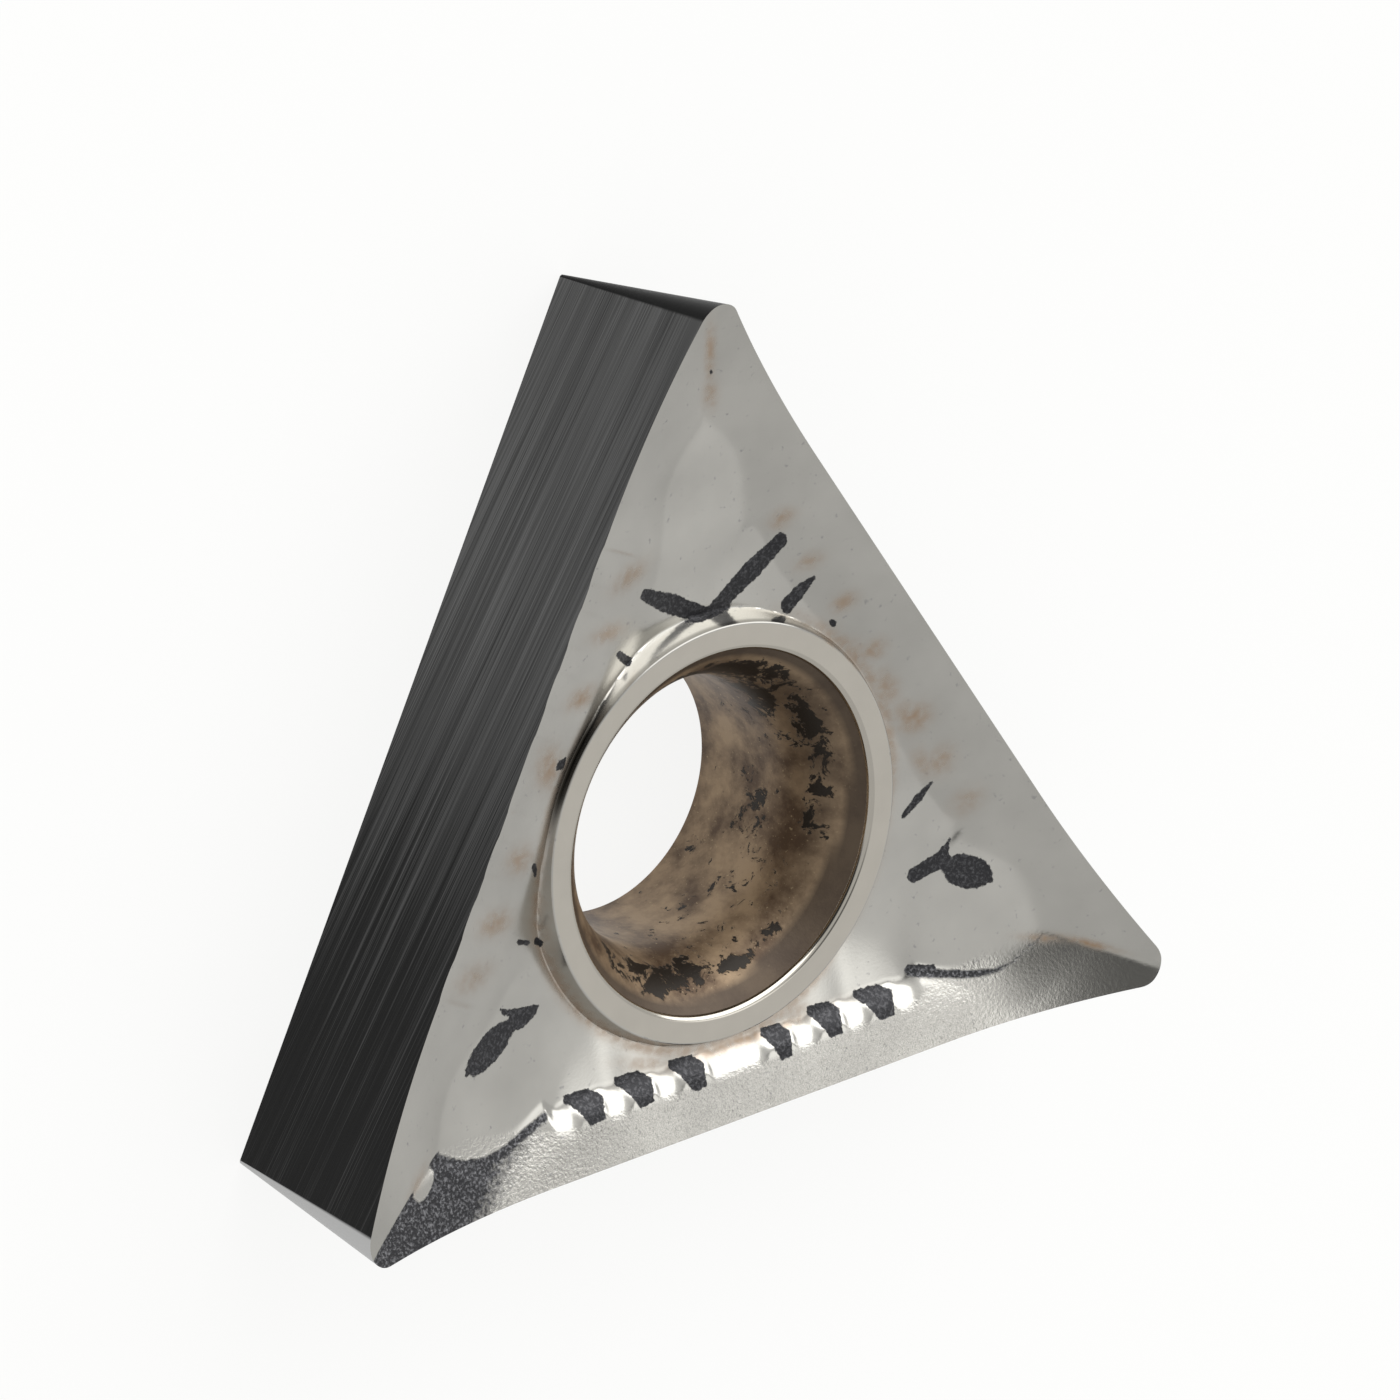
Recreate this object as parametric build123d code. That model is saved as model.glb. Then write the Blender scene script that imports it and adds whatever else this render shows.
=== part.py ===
"""Triangular carbide turning insert with a bright chip breaker, one solid.

Frame: the screw hole's axis is Z, the seat face lies at Z = 0, one nose points along +Y.
All sizes are millimetres. The cutters are drawn for the side that faces -Y.
"""

from build123d import *
import math
import os

# Body
INSCRIBED_D = 9.525
THICKNESS = 3.97
RELIEF_DEG = 7.0
NOSE_R = 0.40
SEAT_CORNER_MIN_R = 0.05

# Cutting edge: level in the middle, rising to each nose in an arc
EDGE_DROP = 0.46
EDGE_RISE_LENGTH = 3.90
RAKE_DEG = 14.0
RAKE_WIDTH = 0.68

# Ribs and flutes that run in from each edge
RIB_SLOPE_DEG = 43.0
FLUTE_FIRST = 1.38
FLUTE_PITCH = 1.02
FLUTE_PAIRS = 3
FLUTE_W = 0.58
MIDDLE_FLUTE_W = 1.26
FLUTE_ROUND = 0.25
FLUTE_DEPTH = 0.51
FLUTE_TILT_DEG = 6.0
FLUTE_MAX_LENGTH = 1.15
FLUTE_INTO_FOOT = 0.05

# Corner recess: a rounded beak on the bisector, a shoulder, then long sides to the flutes
BEAK_FROM_NOSE = 1.70
BEAK_R = 0.42
BEAK_HALF_DEG = 30.0
SHOULDER_FROM_BEAK = 1.14
RECESS_HALF_DEG = 13.5
RECESS_WALL_LEAN_DEG = 35.0
RECESS_LENGTH = 3.80

# Boss round the screw hole and the pocket floor round it
BORE_D = 4.40
SEAT_MOUTH_D = 6.10
SEAT_DEPTH = 1.62
SEAT_RIM = 0.10
LAND_WIDTH = 0.37
LAND_DROP = 0.733
BOSS_H = 0.357
BOSS_DRAFT_DEG = 24.0
BOSS_FOOT_R = 0.16
FLOOR_RISE_DEG = 5.0

# Sizes that follow from the ones above
inscribed_r = INSCRIBED_D / 2
bore_r = BORE_D / 2
mouth_r = SEAT_MOUTH_D / 2
land_r = mouth_r + LAND_WIDTH
relief = math.tan(math.radians(RELIEF_DEG))
rake = math.tan(math.radians(RAKE_DEG))
edge_z = THICKNESS - EDGE_DROP
edge_n = inscribed_r - EDGE_DROP * relief
rake_end_n = edge_n - RAKE_WIDTH
rake_end_z = edge_z - RAKE_WIDTH * rake
land_z = THICKNESS - LAND_DROP
floor_z = land_z - BOSS_H
flute_bottom_z = rake_end_z - FLUTE_DEPTH
nose_r_from_axis = 2 * inscribed_r - NOSE_R
beak_r_from_axis = nose_r_from_axis - BEAK_FROM_NOSE
reach = inscribed_r * 3
sky = THICKNESS + 2.0


def rounded_triangle(radius: float, corner_r: float, z: float) -> Face:
    """Triangle of the given inscribed radius with rounded corners, one nose along +Y."""
    with BuildSketch(Plane.XY.offset(z)) as sketch:
        RegularPolygon(2 * radius, 3, major_radius=True, rotation=90)
        fillet(sketch.vertices(), corner_r)
    return sketch.sketch.face()


def ground_body() -> Solid:
    """Flanks ground at the relief angle, the nose narrowing to a sharp corner at the seat."""
    top = rounded_triangle(inscribed_r, NOSE_R, THICKNESS)
    seat_corner_r = max(NOSE_R - THICKNESS * relief, SEAT_CORNER_MIN_R)
    seat = rounded_triangle(inscribed_r - THICKNESS * relief, seat_corner_r, 0)
    return Solid.make_loft([seat.outer_wire(), top.outer_wire()], ruled=True)


def half_side_wedge() -> Solid:
    """Plan wedge from the middle of the side facing -Y to its bisector."""
    far = reach * 2
    with BuildPart() as wedge:
        with BuildSketch(Plane.XY.offset(-1)):
            with BuildLine():
                Polyline((0, 0), (0, -far), (far * math.tan(math.radians(60)), -far), close=True)
            make_face()
        extrude(amount=sky + 2)
    return wedge.part.solid()


def rake_cut() -> Solid:
    """Rake face of one side: the cutting edge's line carried inward and down."""
    start_n = inscribed_r + 0.5
    level_z = edge_z + (start_n - edge_n) * rake
    nose_s = nose_r_from_axis * math.cos(math.radians(30))
    nose_n = nose_r_from_axis * math.sin(math.radians(30))
    rise = EDGE_DROP + (edge_n - nose_n) * rake
    level_half = nose_s - EDGE_RISE_LENGTH
    rise_r = (EDGE_RISE_LENGTH**2 + rise**2) / (2 * rise)
    arc = math.asin((EDGE_RISE_LENGTH + 1.0) / rise_r)
    end_s = level_half + rise_r * math.sin(arc)
    end_z = level_z + rise_r * (1 - math.cos(arc))
    side = Plane(origin=(0, -start_n, 0), x_dir=(1, 0, 0), z_dir=(0, -1, 0))
    with BuildPart() as cut:
        with BuildSketch(side):
            with BuildLine():
                Line((-level_half, level_z), (level_half, level_z))
                JernArc((level_half, level_z), (1, 0), rise_r, math.degrees(arc))
                Polyline((end_s, end_z), (end_s, sky * 2), (-level_half, sky * 2), (-level_half, level_z))
            make_face()
        extrude(amount=reach, dir=(0, 1, -rake))
    return cut.part.solid()


def rib_cut() -> Solid:
    """Steep face that the ribs between the flutes follow, down from the rake to the floor."""
    slope = math.tan(math.radians(RIB_SLOPE_DEG))
    half = FLUTE_FIRST + (FLUTE_PAIRS - 1) * FLUTE_PITCH

    def level(z: float) -> Wire:
        grow = (z - rake_end_z) / slope
        side = half + grow
        outer = -(rake_end_n + grow)
        return Wire.make_polygon([(-side, 0, z), (side, 0, z), (side, outer, z), (-side, outer, z)])

    return Solid.make_loft([level(floor_z - 0.4), level(rake_end_z + 0.5)], ruled=True)


def recess_outline(z: float) -> Wire:
    """Recess outline for the nose along +Y at one height: rounded beak, shoulders and long sides."""
    grow = (z - rake_end_z) * math.tan(math.radians(RECESS_WALL_LEAN_DEG))
    beak_slope = math.radians(BEAK_HALF_DEG)
    side_slope = math.radians(RECESS_HALF_DEG)
    beak_out = (math.cos(beak_slope), math.sin(beak_slope))
    side_out = (math.cos(side_slope), math.sin(side_slope))
    centre_y = beak_r_from_axis - BEAK_R
    touch = (beak_out[0] * (BEAK_R + grow), centre_y + beak_out[1] * (BEAK_R + grow))
    shoulder_y = beak_r_from_axis - SHOULDER_FROM_BEAK
    shoulder_x = BEAK_R * beak_out[0] + (centre_y + BEAK_R * beak_out[1] - shoulder_y) * math.tan(beak_slope)
    mitre = grow / (1 + beak_out[0] * side_out[0] + beak_out[1] * side_out[1])
    shoulder = (shoulder_x + mitre * (beak_out[0] + side_out[0]), shoulder_y + mitre * (beak_out[1] + side_out[1]))
    root_y = beak_r_from_axis - RECESS_LENGTH
    root = (shoulder[0] + (shoulder[1] - root_y) * math.tan(side_slope), root_y)
    right = Wire.make_polygon([(*root, z), (*shoulder, z), (*touch, z)], close=False)
    tip = Edge.make_three_point_arc((*touch, z), (0, centre_y + BEAK_R + grow, z), (-touch[0], touch[1], z))
    left = Wire.make_polygon(
        [(-touch[0], touch[1], z), (-shoulder[0], shoulder[1], z), (-root[0], root[1], z), (*root, z)], close=False
    )
    return Wire([*right.edges(), tip, *left.edges()])


def corner_recess() -> Solid:
    """Recess behind the nose of the bisector at -30 degrees."""
    low = recess_outline(floor_z - 0.03)
    high = recess_outline(rake_end_z + 0.5)
    return Solid.make_loft([low, high], ruled=True).rotate(Axis.Z, -120)


def flute(width: float, station: float) -> Part:
    """Flute with a ball-rounded end at the rake, its bottom rising inward and ended by the boss's foot."""
    height = flute_bottom_z + 1.0
    block = Pos(0, FLUTE_MAX_LENGTH / 2, height / 2) * Box(width, FLUTE_MAX_LENGTH, height)
    outer_corners = block.edges().filter_by(Axis.Z).group_by(Axis.Y)[0]
    bottom_rim = block.edges().group_by(Axis.Z)[0].sort_by(Axis.Y)[:-1]
    tilted = Rot(FLUTE_TILT_DEG, 0, 0) * fillet(outer_corners + bottom_rim, FLUTE_ROUND)
    foot = extrude(Circle(land_r + FLUTE_INTO_FOOT), sky)
    return Pos(station, -rake_end_n, flute_bottom_z) * tilted - foot


def crown() -> Solid:
    """Space above the boss, its foot and the rising pocket floor, turned about the hole."""
    foot_r = land_r + BOSS_H * math.tan(math.radians(BOSS_DRAFT_DEG))
    far_z = floor_z + (reach - foot_r) * math.tan(math.radians(FLOOR_RISE_DEG))
    with BuildPart() as turned:
        with BuildSketch(Plane.XZ):
            with BuildLine():
                Polyline(
                    (0, land_z), (land_r, land_z), (foot_r, floor_z), (reach, far_z), (reach, sky), (0, sky),
                    close=True,
                )
            profile = make_face()
            foot = profile.vertices().sort_by_distance(Vector(foot_r, 0, floor_z))[0]
            fillet(foot, BOSS_FOOT_R)
        revolve(axis=Axis.Z)
    return turned.part.solid()


def screw_hole() -> Solid:
    """Bore with a trumpet-shaped screw seat and a small chamfered rim."""
    seat_top = (mouth_r - SEAT_RIM * 0.8, land_z - SEAT_RIM)
    seat_start = (bore_r, land_z - SEAT_DEPTH)
    with BuildPart() as hole:
        with BuildSketch(Plane.XZ):
            with BuildLine():
                Polyline((0, -1), (bore_r, -1), seat_start)
                TangentArc(seat_start, seat_top, tangent=(0, 1))
                Polyline(seat_top, (mouth_r, land_z), (mouth_r, sky), (0, sky), (0, -1))
            make_face()
        revolve(axis=Axis.Z)
    return hole.part.solid()


def insert_solid() -> Part:
    """The whole insert: one half side is cut, mirrored and set three times round the hole."""
    space = crown()
    wedge = half_side_wedge()
    half_side = ground_body() & wedge
    for cutter in (rake_cut(), rib_cut(), corner_recess()):
        half_side = half_side - (cutter & space & wedge)
    half_side = half_side - flute(MIDDLE_FLUTE_W, 0)
    for pair in range(FLUTE_PAIRS):
        half_side = half_side - flute(FLUTE_W, FLUTE_FIRST + pair * FLUTE_PITCH)
    halves = [half_side, half_side.mirror(Plane.YZ)]
    pieces = [half.rotate(Axis.Z, turn) for turn in (0, 120, 240) for half in halves]
    return pieces[0].fuse(*pieces[1:]) - screw_hole()


insert = insert_solid()
os.makedirs("parts", exist_ok=True)
export_step(insert, "parts/insert.step")
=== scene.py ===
"""Triangular carbide turning insert, dressed as pressed, sintered and ground carbide.

The form is one closed skin: a grid primitive rolled round the screw hole, so that every row is a loop
round the hole and every column a section through it. All sizes are millimetres until the skin is
placed, and the frame is the CAD model's: Z up the hole's axis, one nose along +Y.
"""

import logging
import math
from dataclasses import dataclass, field
from enum import Enum

import bpy
import numpy as np
from mathutils import Matrix, Vector


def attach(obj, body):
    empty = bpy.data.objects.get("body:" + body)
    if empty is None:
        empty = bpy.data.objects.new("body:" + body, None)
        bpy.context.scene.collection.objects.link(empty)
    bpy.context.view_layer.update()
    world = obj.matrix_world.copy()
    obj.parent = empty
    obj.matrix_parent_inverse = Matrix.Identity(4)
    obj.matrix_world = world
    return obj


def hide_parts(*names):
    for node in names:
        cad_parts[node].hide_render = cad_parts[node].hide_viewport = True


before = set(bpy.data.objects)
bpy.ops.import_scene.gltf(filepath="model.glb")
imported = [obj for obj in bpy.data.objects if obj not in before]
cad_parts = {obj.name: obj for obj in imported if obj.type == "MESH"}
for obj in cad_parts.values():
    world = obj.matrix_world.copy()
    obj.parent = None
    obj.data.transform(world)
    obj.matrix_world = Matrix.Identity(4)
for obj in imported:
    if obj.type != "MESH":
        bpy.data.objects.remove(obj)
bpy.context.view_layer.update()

LOG = logging.getLogger("insert")
MM = 0.001
COS30 = math.cos(math.radians(30))
FRONT_SIDE, WORN_SIDE = 0, 2  # numbers of the side that faces -Y and of the one that faces -X


# Helpers
Array = np.ndarray
Plug = bpy.types.NodeSocket
Point = tuple[float, float]


def linear(hex_colour: str) -> tuple[float, float, float, float]:
    """Turn an sRGB hex colour to linear light.

    Args:
        hex_colour: Six hex digits with a leading hash.

    Returns:
        Red, green, blue and an alpha of one.
    """
    levels = [int(hex_colour[i:i + 2], 16) / 255 for i in (1, 3, 5)]
    return (*[c / 12.92 if c <= 0.04045 else ((c + 0.055) / 1.055) ** 2.4 for c in levels], 1.0)


@dataclass
class Net:
    """One node tree, with a short call for each kind of node that the looks share."""
    tree: bpy.types.NodeTree

    def feed(self, node: bpy.types.Node, inputs: dict) -> None:
        """Set or link a node's inputs.

        Args:
            node: Node of this tree.
            inputs: A value, or a socket to link from, by input name or index.
        """
        for name, value in inputs.items():
            if isinstance(value, Plug):
                self.tree.links.new(value, node.inputs[name])
            else:
                node.inputs[name].default_value = value

    def node(self, kind: str, settings: dict | None = None, inputs: dict | None = None) -> bpy.types.Node:
        """Add one node.

        Args:
            kind: Node type without its ShaderNode prefix.
            settings: Properties by name.
            inputs: What its inputs get, as feed takes it.

        Returns:
            The new node.
        """
        node = self.tree.nodes.new("ShaderNode" + kind)
        for name, value in (settings or {}).items():
            setattr(node, name, value)
        self.feed(node, inputs or {})
        return node

    def stored(self, label: str) -> Plug:
        """Number that the skin stores under a label."""
        return self.node("Attribute", {"attribute_name": label}).outputs["Fac"]

    def noise(self, place: Plug, cell: float, detail: float, rough: float = 0.5,
              distortion: float = 0.0) -> Plug:
        """Cloudy noise over a place.

        Args:
            place: Coordinates it is drawn on.
            cell: Size of its largest cells, in those coordinates.
            detail: How many finer layers it has.
            rough: How strong the finer layers are.
            distortion: How far it is stirred.

        Returns:
            Levels from 0 to 1.
        """
        return self.node("TexNoise", inputs={"Vector": place, "Scale": 1 / cell, "Detail": detail,
                                             "Roughness": rough, "Distortion": distortion}).outputs["Fac"]

    def span(self, value: Plug, low: float = 0.0, high: float = 1.0, to_low: float = 0.0,
             to_high: float = 1.0, ramp: str = "LINEAR") -> Plug:
        """Map values from one span to another and keep them inside it.

        Args:
            value: What is mapped.
            low: Start of the first span.
            high: End of the first span.
            to_low: Start of the second span.
            to_high: End of the second span.
            ramp: Kind of ramp between the ends.

        Returns:
            The mapped values.
        """
        inputs = {"Value": value, "From Min": low, "From Max": high, "To Min": to_low, "To Max": to_high}
        return self.node("MapRange", {"interpolation_type": ramp}, inputs).outputs[0]

    def mix(self, share: Plug | float, first: Plug | tuple, second: Plug | tuple, blend: str = "MIX") -> Plug:
        """Colour between two colours, by the share of the second."""
        return self.node("Mix", {"data_type": "RGBA", "blend_type": blend},
                         {0: share, 6: first, 7: second}).outputs[2]

    def maths(self, operation: str, *terms: Plug | float, clamp: bool = False) -> Plug:
        """Result of one operation on its terms."""
        settings = {"operation": operation, "use_clamp": clamp}
        return self.node("Math", settings, dict(enumerate(terms))).outputs[0]

    def bump(self, height: Plug, depth: float, strength: Plug | float) -> Plug:
        """Normals that a height gives the surface."""
        inputs = {"Height": height, "Distance": depth, "Strength": strength}
        return self.node("Bump", inputs=inputs).outputs["Normal"]


def empty_net(owner: bpy.types.Material | bpy.types.World) -> Net:
    """Give a material or a world an empty node tree."""
    owner.use_nodes = True
    owner.node_tree.nodes.clear()
    return Net(owner.node_tree)


def deselect_all() -> None:
    """Leave nothing selected, because operators act on all that is."""
    if bpy.context.object and bpy.context.object.mode != "OBJECT":
        bpy.ops.object.mode_set(mode="OBJECT")
    bpy.ops.object.select_all(action="DESELECT")


def direction(azimuth: float, elevation: float) -> tuple[float, float, float]:
    """Unit vector at an azimuth and an elevation in degrees."""
    a, e = math.radians(azimuth), math.radians(elevation)
    return math.cos(e) * math.cos(a), math.cos(e) * math.sin(a), math.sin(e)


def soft_min(a: Array, b: Array, blend: float) -> Array:
    """Smaller of two heights, with a blend of the given height where they cross."""
    t = np.clip(0.5 + 0.5 * (b - a) / blend, 0, 1)
    return b * (1 - t) + a * t - blend * t * (1 - t)


def soft_max(a: Array, b: Array, blend: float) -> Array:
    """Larger of two heights, with a blend of the given height where they cross."""
    return -soft_min(-a, -b, blend)


def smooth_step(low: float, high: float, value: Array) -> Array:
    """Ramp from 0 at low to 1 at high with level ends."""
    t = np.clip((value - low) / (high - low), 0, 1)
    return t * t * (3 - 2 * t)


def from_bisector(n: Array, s: Array) -> tuple[Array, Array]:
    """Distance along the nearest nose's bisector and distance off it."""
    return 0.5 * n + COS30 * np.abs(s), COS30 * n - 0.5 * np.abs(s)


def capsule(p: Array, a: Point, b: Point, ra: float, rb: float) -> Array:
    """Depth inside a stroke from a to b whose half width goes from ra to rb, in mm."""
    start, run = np.array(a), np.array(b) - np.array(a)
    t = np.clip(((p - start) @ run) / (run @ run), 0, 1)
    return ra + (rb - ra) * t - np.linalg.norm(p - start - t[:, None] * run, axis=1)


def turned(p: Array, centre: Point, turn_deg: float) -> tuple[Array, Array]:
    """Distances from a centre along two axes that are turned."""
    c, s = math.cos(math.radians(turn_deg)), math.sin(math.radians(turn_deg))
    d = p - np.array(centre)
    return d[:, 0] * c + d[:, 1] * s, -d[:, 0] * s + d[:, 1] * c


def ellipse(p: Array, centre: Point, half: Point, turn_deg: float) -> Array:
    """Rough depth inside a turned ellipse, in mm."""
    u, v = turned(p, centre, turn_deg)
    return (1 - np.sqrt((u / half[0]) ** 2 + (v / half[1]) ** 2)) * min(half)


def polygon(p: Array, corners: tuple[Point, ...]) -> Array:
    """Depth inside a closed polygon, negative outside, in mm."""
    pts = np.array(corners)
    inside = np.zeros(len(p), bool)
    nearest = np.full(len(p), np.inf)
    for a, b in zip(pts, np.roll(pts, -1, axis=0)):
        run = b - a
        t = np.clip(((p - a) @ run) / (run @ run), 0, 1)
        nearest = np.minimum(nearest, np.linalg.norm(p - a - t[:, None] * run, axis=1))
        cross = ((a[1] > p[:, 1]) != (b[1] > p[:, 1]))
        with np.errstate(divide="ignore", invalid="ignore"):
            at = (b[0] - a[0]) * (p[:, 1] - a[1]) / (b[1] - a[1]) + a[0]
        inside ^= cross & (p[:, 0] < at)
    return np.where(inside, nearest, -nearest)


class Zone(Enum):
    """Parts of the skin that were finished differently, in material order."""
    CROWN = 0
    FLANK = 1
    LAND = 2
    BORE = 3
    SEAT = 4


# Form of the insert
@dataclass(frozen=True)
class ChipBreaker:
    """Heights of the pressed top face: rake, ribs, flutes, corner recesses, boss and floor.

    In its methods n is the distance out from the hole's axis towards the nearest side, and s the
    distance along that side from its middle. Pairs are the start and the end of a ramp.
    """
    # Body
    inscribed_r: float = 4.7625
    thickness: float = 3.97
    relief: float = math.tan(math.radians(7.0))
    nose_r: float = 0.40
    nose_arc: float = 0.06
    nose_half: float = math.radians(60)
    seat_corner_r: float = 0.05

    # Cutting edge and rake
    edge_drop: float = 0.46
    edge_rise_length: float = 3.90
    edge_rise_limit: float = 0.9
    rake: float = math.tan(math.radians(14.0))
    rake_width: float = 0.68

    # Ribs and flutes
    rib_slope: float = math.tan(math.radians(43.0))
    rib_back: float = 0.15
    flute_slope: float = math.tan(math.radians(36.0))
    worn_slope: float = 0.50
    flute_stations: tuple = (0.0, 1.38, 2.40, 3.42)
    flute_half: float = 0.31
    middle_flute_half: float = 0.63
    flute_round: float = 0.27
    flute_back: float = 0.02
    flute_blend: float = 0.05
    fluted_half: float = 3.42
    end_slope: float = 4.0
    step_blend: float = 0.06
    worn_step_blend: float = 0.25

    # Corner recesses, steepest behind the front side's -X nose
    recess_slope: float = 0.25
    recess_run: float = 0.42
    recess_reach: float = 0.8
    recess_blend: float = 0.09
    shoulder_u: float = 6.29
    shoulder_v: float = 0.917
    shoulder_blend: float = 0.4
    recess_half: float = math.radians(13.4)
    beak_u: float = 6.50
    beak_v: float = 0.80
    beak_half: float = math.radians(54.5)
    beak_round: float = 0.12
    crisp_along: tuple = (6.5, 7.0)
    crisp_off: tuple = (0.0, 0.25)
    crisp_slope: float = 1.5
    crisp_blend: float = 0.05

    # Hole, boss and pocket floor
    bore_r: float = 2.20
    mouth_r: float = 3.05
    seat_depth: float = 1.62
    seat_rim: float = 0.10
    land_r: float = 3.42
    land_z: float = 3.237
    land_blend: float = 0.02
    boss_h: float = 0.357
    boss_foot: float = 0.14
    boss_blend: float = 0.04
    floor_lift: float = 0.20
    lift_fade_deg: tuple = (16, 50)
    floor_start: float = 0.16
    floor_rise: float = math.tan(math.radians(7.6))
    dip: float = 0.015
    dip_share: float = 0.95
    dip_out: tuple = (1.9, 3.5)
    dip_along: tuple = (4.2, 4.6)
    foot_blend: float = 0.06
    worn_foot_blend: float = 0.20
    corner_foot_blend: float = 0.15
    corner_along: tuple = (4.0, 5.0)

    @property
    def edge_z(self) -> float:
        """Height of the level stretch of the cutting edge."""
        return self.thickness - self.edge_drop

    @property
    def edge_n(self) -> float:
        """Distance from the hole's axis to the level stretch of the cutting edge."""
        return self.inscribed_r - self.edge_drop * self.relief

    @property
    def nose_from_axis(self) -> float:
        """Distance from the hole's axis to a nose's tip."""
        return 2 * self.inscribed_r - self.nose_r

    def edge_rise(self, s: Array) -> Array:
        """How far the cutting edge has risen at a station along the side."""
        nose_s = self.nose_from_axis * COS30
        rise = self.edge_drop + (self.edge_n - self.nose_from_axis / 2) * self.rake
        arc_r = (self.edge_rise_length ** 2 + rise ** 2) / (2 * rise)
        past = np.clip(np.abs(s) - (nose_s - self.edge_rise_length), 0, arc_r * self.edge_rise_limit)
        return arc_r - np.sqrt(arc_r ** 2 - past ** 2)

    def folded(self, x: Array, y: Array) -> tuple[Array, Array, Array]:
        """Distance out from the axis, station along and number of the nearest side."""
        normals = [(0.0, -1.0), (COS30, 0.5), (-COS30, 0.5)]
        out = np.array([x * a + y * b for a, b in normals])
        along = np.array([-x * b + y * a for a, b in normals])
        side = np.argmax(out, axis=0)
        pick = (side, np.arange(len(x)))
        return out[pick], along[pick], side

    def flute_width(self, station: float) -> float:
        """Half the width of the flute at a station: the middle one is wide."""
        return self.middle_flute_half if station == 0 else self.flute_half

    def recess_outside(self, n: Array, s: Array) -> Array:
        """Distance outside the toe of the corner recess: a long side, a shoulder and a rounded beak."""
        u, v = from_bisector(n, s)
        side = (u - self.shoulder_u) * math.sin(self.recess_half)
        side = side + (v - self.shoulder_v) * math.cos(self.recess_half)
        beak = (u - self.beak_u) * math.sin(self.beak_half)
        beak = beak + (np.hypot(v, self.beak_round) - self.beak_v) * math.cos(self.beak_half)
        return soft_max(beak, side, self.shoulder_blend)

    def boss_and_floor(self, r: Array, n: Array, s: Array) -> Array:
        """Height of the boss, its foot and the pocket floor with the soft ridges of the flutes."""
        floor = self.land_z - self.boss_h + (r - self.land_r - self.floor_start) * self.floor_rise
        dips = np.zeros_like(n)
        for station in self.flute_stations:
            across = (np.abs(s) - station) / (self.flute_width(station) * self.dip_share)
            dips += np.exp(-across ** 2)
        reach = smooth_step(*self.dip_out, n) * (1 - smooth_step(*self.dip_along, np.abs(s)))
        off_middle = np.degrees(np.arctan2(np.abs(s), n))
        lift = self.floor_lift * (1 - smooth_step(*self.lift_fade_deg, off_middle))
        floor = floor - self.dip * dips * reach + lift
        wall = self.land_z - (r - self.land_r) * self.boss_h / self.boss_foot
        boss = soft_min(wall, np.full_like(r, self.land_z), self.land_blend)
        return soft_max(boss, floor, self.boss_blend)

    def ribs_and_flutes(self, n: Array, s: Array, wear: Array) -> Array:
        """Height of the steep step inside the rake.

        Args:
            n: Distance out from the axis.
            s: Distance along the side.
            wear: Share of the slopes that the polish left.

        Returns:
            Z in mm.
        """
        end_n = self.edge_n - self.rake_width
        end_z = self.edge_z - self.rake_width * self.rake
        beyond = np.clip(np.abs(s) - self.fluted_half, 0, None)
        cut = end_z + (n - end_n + self.rib_back) * self.rib_slope * wear + beyond * self.end_slope
        for station in self.flute_stations:
            half = self.flute_width(station)
            off = np.abs(np.abs(s) - station)
            side = np.clip(off - (half - self.flute_round), 0, self.flute_round * 0.999)
            shift = self.flute_round - np.sqrt(self.flute_round ** 2 - side ** 2)
            over = np.clip(off - half, 0, None)
            flute = end_z + (n - end_n + self.flute_back + shift) * self.flute_slope * wear
            cut = soft_min(cut, flute + over * self.end_slope, self.flute_blend)
        return cut

    def height(self, x: Array, y: Array) -> Array:
        """Height of the top face over plan points.

        Args:
            x: Plan X in mm.
            y: Plan Y in mm.

        Returns:
            Z in mm.
        """
        n, s, side = self.folded(x, y)
        front = side == FRONT_SIDE
        rake = self.edge_z + self.edge_rise(s) - (self.edge_n - n) * self.rake
        step = self.ribs_and_flutes(n, s, np.where(side == WORN_SIDE, self.worn_slope, 1.0))
        u, v = from_bisector(n, s)
        crisp = smooth_step(*self.crisp_along, u) * smooth_step(*self.crisp_off, v) * front * (s < 0)
        outside = self.recess_outside(n, s) * (1 + self.crisp_slope * crisp) - self.recess_run
        recess = rake + np.minimum(outside, self.recess_reach) * self.recess_slope
        recess = soft_min(rake, recess, self.recess_blend - self.crisp_blend * crisp)
        face = soft_min(recess, step, np.where(front, self.step_blend, self.worn_step_blend))
        foot = np.where(front, self.foot_blend, self.worn_foot_blend)
        foot = foot + (self.corner_foot_blend - foot) * smooth_step(*self.corner_along, np.abs(s))
        return soft_max(face, self.boss_and_floor(np.hypot(x, y), n, s), foot)

    def outline(self, turn: Array, z: Array) -> Array:
        """Plan point of the ground flank at a height.

        Args:
            turn: Outline parameter, 0 to 3, whole numbers at the noses, whose arcs end nose_arc from them.
            z: Height in mm.

        Returns:
            Plan points, one row each.
        """
        inner = self.inscribed_r - (self.thickness - z) * self.relief
        corner = self.seat_corner_r + (self.nose_r - self.seat_corner_r) * (z / self.thickness)
        which = np.floor(turn + 0.5)
        local = turn - which
        base = np.radians(90 + 120 * which)
        centre = 2 * (inner - corner)
        swing = np.clip(local / self.nose_arc, -1, 1) * self.nose_half
        px = centre * np.cos(base) + corner * np.cos(base + swing)
        py = centre * np.sin(base) + corner * np.sin(base + swing)
        run = (np.abs(local) - self.nose_arc) / (0.5 - self.nose_arc)
        straight = np.clip(run, 0, 1) * (centre * math.sin(self.nose_half))
        heading = base + np.sign(local) * math.radians(150)
        return np.stack([px + straight * np.cos(heading), py + straight * np.sin(heading)], axis=1)


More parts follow.
